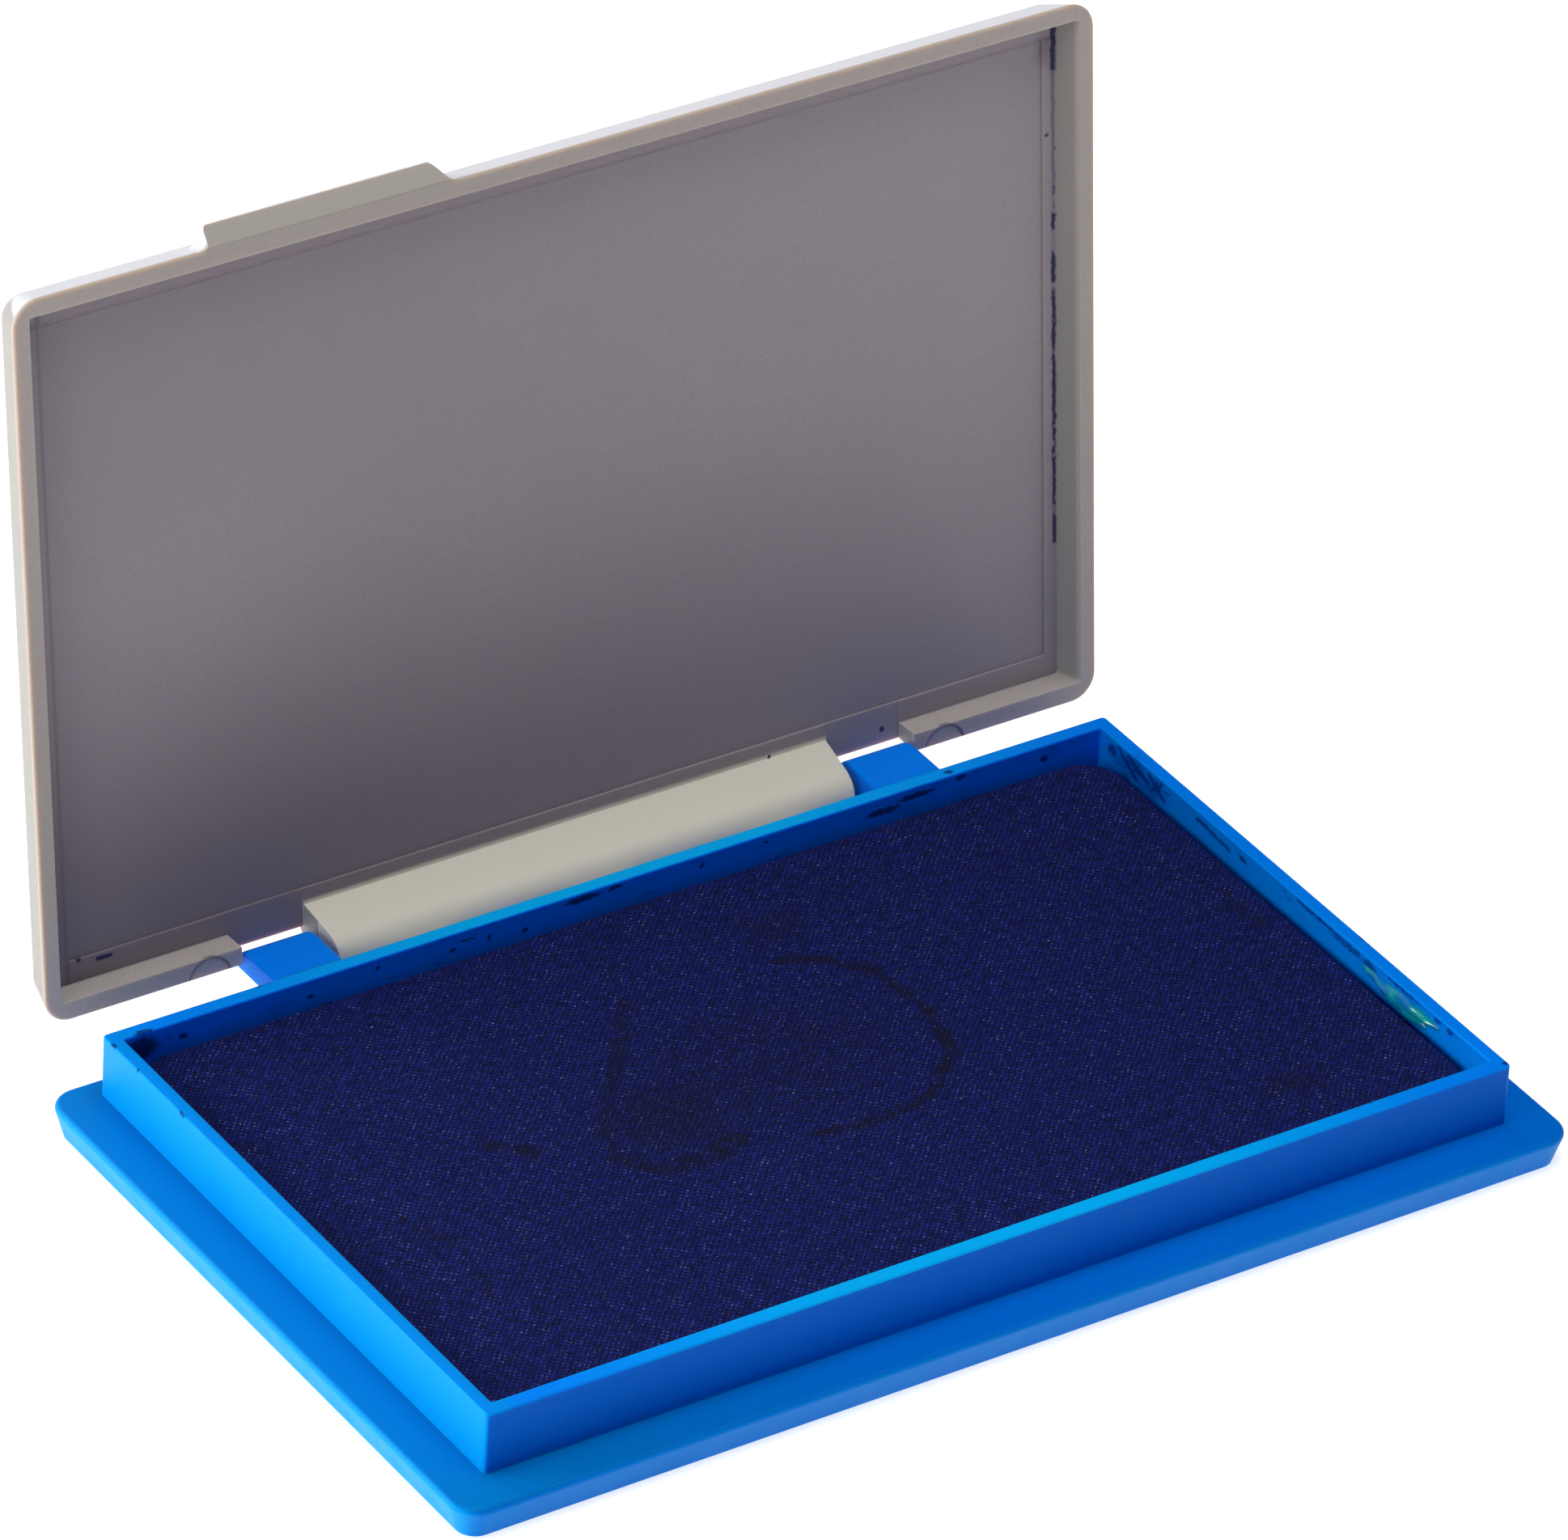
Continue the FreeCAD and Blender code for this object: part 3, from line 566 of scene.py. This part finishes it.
def soaked(name, light, dark, size, depth):
    """A porous hidden layer: felt, foam or board."""
    s = Shader(name)
    pores = s.noise(size, 4, 0.7)
    s.set(Base_Color=s.mix(s.ease(pores, 0.3, 0.7), light, dark))
    s.set(Roughness=0.9)
    s.set(Normal=s.bump(pores, depth))
    return s.material


def floor_material():
    """Pale sweep that glows faintly, as a light table does."""
    s = Shader("pale_floor")
    s.set(Base_Color=s.mix(s.noise(0.5), FLOOR_DARK, FLOOR_LIGHT))
    s.set(Roughness=0.8, Specular_IOR_Level=0.1)
    s.set(Emission_Color=(1, 1, 1, 1), Emission_Strength=FLOOR_GLOW)
    return s.material


def finish_with(obj, material):
    """Gives an object one material, on every face."""
    obj.data.materials.clear()
    obj.data.materials.append(material)


# ---- pieces ----
def new_piece(name, points, faces, material, smooth=True):
    mesh = bpy.data.meshes.new(name)
    mesh.from_pydata([tuple(p) for p in points], [], faces)
    mesh.materials.append(material)
    for polygon in mesh.polygons:
        polygon.use_smooth = smooth
    mesh.update()
    piece = bpy.data.objects.new(name, mesh)
    bpy.context.scene.collection.objects.link(piece)
    return piece


def round_corner(value_x, value_y, half_x, half_y, radius):
    """Moves a point of a rectangle's grid so that the rectangle's corners become round."""
    inner_x = half_x - radius
    inner_y = half_y - radius
    over_x = max(abs(value_x) - inner_x, 0.0)
    over_y = max(abs(value_y) - inner_y, 0.0)
    if over_x > 0 and over_y > 0:
        shrink = max(over_x, over_y) / math.hypot(over_x, over_y)
        value_x = math.copysign(inner_x + over_x * shrink, value_x)
        value_y = math.copysign(inner_y + over_y * shrink, value_y)
    return value_x, value_y


def grid_faces(columns, rows):
    """The cells of a grid whose points are listed row by row."""
    width = columns + 1
    corners = [j * width + i for j in range(rows) for i in range(columns)]
    return [(corner, corner + 1, corner + width + 1, corner + width) for corner in corners]


def grid_border(columns, rows):
    """The points round the edge of the same grid, anticlockwise from above."""
    width = columns + 1
    border = [i for i in range(columns)]
    border += [j * width + columns for j in range(rows)]
    border += [rows * width + i for i in range(columns, 0, -1)]
    border += [j * width for j in range(rows, 0, -1)]
    return border


def pad_height(x, y):
    """Height of the cloth on top of the pad: crowned, slack near the walls and a little uneven."""
    half_x = COVER_HIGH.x - ROLL_OUT
    half_y = COVER_HIGH.y - ROLL_OUT
    crown = (1 - abs(x / half_x) ** 5) * (1 - abs(y / half_y) ** 4)
    at = Vector((x, y, 0))
    swell = noise.noise(at / (17 * MM)) * 0.07 * MM
    swell += noise.noise(at / (6 * MM) + Vector((5, 0, 0))) * 0.03 * MM
    return COVER_HIGH.z - CROWN + CROWN * max(crown, 0) + swell - 0.1 * MM


def within(value, limit):
    """The value, kept between the limit and its negative."""
    return max(min(value, limit), -limit)


def make_cover(material):
    """The cloth: a fine grid on top, then rows that roll over the edge, down the side and under the board.
    """
    half_x = COVER_HIGH.x - ROLL_OUT
    half_y = COVER_HIGH.y - ROLL_OUT
    radius = CORNER - ROLL_OUT
    columns = round(2 * half_x / CELL)
    rows = round(2 * half_y / CELL)
    points = []
    for j in range(rows + 1):
        for i in range(columns + 1):
            x = half_x * (2 * i / columns - 1)
            y = half_y * (2 * j / rows - 1)
            x, y = round_corner(x, y, half_x, half_y, radius)
            points.append(Vector((x, y, pad_height(x, y))))
    faces = grid_faces(columns, rows)
    border = grid_border(columns, rows)
    outwards = []
    for index in border:
        p = points[index]
        core = Vector((within(p.x, half_x - radius), within(p.y, half_y - radius), 0))
        direction = Vector((p.x, p.y, 0)) - core
        outwards.append(direction.normalized())
    low = COVER_LOW.z + CLOTH
    steps = 7
    turns = [k * math.pi / 2 / steps for k in range(1, steps + 1)]
    profile = [(ROLL_OUT * math.sin(turn), ROLL_DOWN * (1 - math.cos(turn)), 0) for turn in turns]
    profile += [(ROLL_OUT, None, share) for share in (0.4, 0.8, 1.0)]
    profile += [(ROLL_OUT - inset, None, 1.0) for inset in (0.5 * MM, HEM / 2, HEM)]
    above = border
    count = len(border)
    for out, drop, share in profile:
        ring = []
        for k, index in enumerate(border):
            p = points[index]
            wave = noise.noise(Vector((p.x, p.y, 0)) / (4 * MM)) * 0.08 * MM
            z = p.z - drop if drop is not None else (p.z - ROLL_DOWN) * (1 - share) + low * share
            move = out - DRAWN_IN + (wave if out > 0 else 0)
            spot = p + outwards[k] * move
            ring.append(len(points))
            points.append(Vector((within(spot.x, half_x + move), within(spot.y, half_y + move), z)))
        for k in range(count):
            after = (k + 1) % count
            faces.append((above[k], ring[k], ring[after], above[after]))
        above = ring
    cover = new_piece("pad_cloth", points, faces, material)
    mesh = bmesh.new()
    mesh.from_mesh(cover.data)
    bmesh.ops.remove_doubles(mesh, verts=mesh.verts, dist=0.001 * MM)
    mesh.to_mesh(cover.data)
    mesh.free()
    solidify = cover.modifiers.new("cloth_thickness", "SOLIDIFY")
    solidify.thickness = CLOTH
    solidify.offset = -1
    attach(cover, "tray")
    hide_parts("fabric_cover")


def make_fibres(material):
    """Short fibre ends that stand out of the cloth, as thin three-sided tubes."""
    rng = random.Random(7)
    points = []
    faces = []
    half_x = COVER_HIGH.x - 2.2 * MM
    half_y = COVER_HIGH.y - 2.2 * MM
    segments = 4
    for _ in range(FIBRES):
        x = rng.uniform(-half_x, half_x)
        y = rng.uniform(-half_y, half_y)
        heading = rng.uniform(0, 2 * math.pi)
        bend = rng.uniform(-1.6, 1.6)
        length = rng.uniform(0.2, 0.6) * MM
        lift = rng.uniform(0.05, 0.2) * MM
        thick = rng.uniform(0.012, 0.022) * MM
        start = len(points)
        for k in range(segments + 1):
            share = k / segments
            z = pad_height(x, y) + 0.02 * MM + lift * math.sin(math.pi * share)
            side = Vector((-math.sin(heading), math.cos(heading), 0))
            for corner in range(3):
                turn = 2 * math.pi * corner / 3
                offset = side * math.cos(turn) + Vector((0, 0, math.sin(turn)))
                points.append(Vector((x, y, z)) + offset * thick)
            heading += bend / segments
            x += math.cos(heading) * length / segments
            y += math.sin(heading) * length / segments
        for k in range(segments):
            for corner in range(3):
                a = start + 3 * k + corner
                b = start + 3 * k + (corner + 1) % 3
                faces.append((a, b, b + 3, a + 3))
        end = start + 3 * segments
        faces.append((start, start + 2, start + 1))
        faces.append((end, end + 1, end + 2))
    fibres = new_piece("cloth_fibres", points, faces, material)
    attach(fibres, "tray")


def make_glue(material):
    """Glue pressed up against the right wall: a lumpy closed bead, thickest in the middle."""
    wall = GLUE_HIGH.x
    middle = (GLUE_LOW + GLUE_HIGH) / 2
    half_y = (GLUE_HIGH.y - GLUE_LOW.y) / 2
    half_z = 0.85 * MM
    rings = 14
    spokes = 48
    points = [Vector((0, 0, 0))] * (1 + rings * spokes)

    def dome(share, turn):
        edge = 1 + 0.18 * math.sin(3 * turn + 0.7) + 0.12 * math.sin(5 * turn)
        y = middle.y + half_y * share * math.cos(turn) * edge
        z = RIM_Z - 1.45 * MM + half_z * share * math.sin(turn) * edge
        lump = 1 + 0.5 * noise.noise(Vector((0, y, z)) / (1.3 * MM))
        rise = math.sqrt(max(1 - share * share, 0)) * 0.62 * MM * lump
        return Vector((wall + 0.05 * MM - rise, y, z))

    points[0] = dome(0, 0)
    faces = []
    for ring in range(rings):
        share = math.sin((ring + 1) / rings * math.pi / 2)
        for spoke in range(spokes):
            points[1 + ring * spokes + spoke] = dome(share, 2 * math.pi * spoke / spokes)
    for spoke in range(spokes):
        after = (spoke + 1) % spokes
        faces.append((0, 1 + spoke, 1 + after))
        for ring in range(rings - 1):
            a = 1 + ring * spokes
            b = a + spokes
            faces.append((a + spoke, b + spoke, b + after, a + after))
    last = 1 + (rings - 1) * spokes
    faces.append(tuple(last + spoke for spoke in reversed(range(spokes))))
    bead = new_piece("glue_blob", points, faces, material)
    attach(bead, "tray")
    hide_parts("glue_bead")


def make_cushion(material):
    """The foam under the cloth: the same crown, a cloth's thickness lower."""
    low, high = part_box("cushion_foam")
    columns = 48
    rows = 28
    radius = CORNER - CLOTH
    points = []
    for bottom in (False, True):
        for j in range(rows + 1):
            for i in range(columns + 1):
                x = high.x * (2 * i / columns - 1)
                y = high.y * (2 * j / rows - 1)
                edge = max(abs(x) - high.x + ROLL_OUT, abs(y) - high.y + ROLL_OUT, 0) / ROLL_OUT
                x, y = round_corner(x, y, high.x, high.y, radius)
                top = pad_height(x * 0.97, y * 0.95) - CLOTH - 0.04 * MM
                dip = 1.1 * MM * (1 - math.sqrt(max(1 - edge * edge, 0)))
                points.append(Vector((x * 0.998, y * 0.998, low.z if bottom else top - dip)))
    layer = (columns + 1) * (rows + 1)
    faces = []
    for a, b, c, d in grid_faces(columns, rows):
        faces.append((a, b, c, d))
        faces.append((layer + a, layer + d, layer + c, layer + b))
    border = grid_border(columns, rows)
    for k, a in enumerate(border):
        b = border[(k + 1) % len(border)]
        faces.append((a, layer + a, layer + b, b))
    cushion = new_piece("pad_foam", points, faces, material)
    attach(cushion, "tray")
    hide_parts("cushion_foam")


# ---- studio ----
def make_camera():
    level = Vector((math.sin(CAMERA_AZIMUTH), math.cos(CAMERA_AZIMUTH), 0))
    forward = level * math.cos(CAMERA_ELEVATION) - Vector((0, 0, math.sin(CAMERA_ELEVATION)))
    flat_right = forward.cross(Vector((0, 0, 1))).normalized()
    flat_up = flat_right.cross(forward)
    right = flat_right * math.cos(CAMERA_ROLL) + flat_up * math.sin(CAMERA_ROLL)
    up = right.cross(forward)
    data = bpy.data.cameras.new("camera")
    data.lens = CAMERA_LENS
    data.sensor_width = SENSOR
    data.clip_end = 20
    camera = bpy.data.objects.new("camera", data)
    turned = Matrix((right, up, -forward)).transposed().to_4x4()
    camera.matrix_world = Matrix.Translation(CAMERA_AIM - forward * CAMERA_DISTANCE) @ turned
    bpy.context.scene.collection.objects.link(camera)
    bpy.context.scene.camera = camera


def softbox(name, place, size, power):
    """A square area light that looks at the middle of the object."""
    data = bpy.data.lights.new(name, "AREA")
    data.shape = "SQUARE"
    data.size = size
    data.energy = power
    light = bpy.data.objects.new(name, data)
    light.location = place
    aim = Vector((0, 0, 0.02)) - Vector(place)
    light.rotation_euler = aim.to_track_quat("-Z", "Y").to_euler()
    bpy.context.scene.collection.objects.link(light)


def make_studio():
    size = 6.0
    points = [(-size, -size, 0), (size, -size, 0), (size, size, 0), (-size, size, 0)]
    floor = new_piece("floor", points, [(0, 1, 2, 3)], floor_material(), smooth=False)
    world = bpy.data.worlds.new("studio")
    world.use_nodes = True
    world.node_tree.nodes["Background"].inputs["Color"].default_value = (1, 1, 1, 1)
    world.node_tree.nodes["Background"].inputs["Strength"].default_value = WORLD_LIGHT
    bpy.context.scene.world = world
    for box in SOFTBOXES:
        softbox(*box)
    bpy.context.scene.view_settings.view_transform = "Standard"


make_camera()
make_studio()
finish_with(NODES["base_tray"], tray_plastic())
finish_with(NODES["lid"], lid_plastic())
felt = soaked("soaked_felt", FELT_LIGHT, FELT_DARK, 0.6 * MM, 0.1 * MM)
finish_with(NODES["reservoir_felt"], felt)
board = soaked("stained_board", BOARD_LIGHT, BOARD_DARK, 1.5 * MM, 0.03 * MM)
finish_with(NODES["backing_board"], board)
make_cushion(soaked("soaked_foam", FOAM_LIGHT, FOAM_DARK, 0.4 * MM, 0.08 * MM))
make_cover(inked_cloth())
make_fibres(fibre())
make_glue(glue())
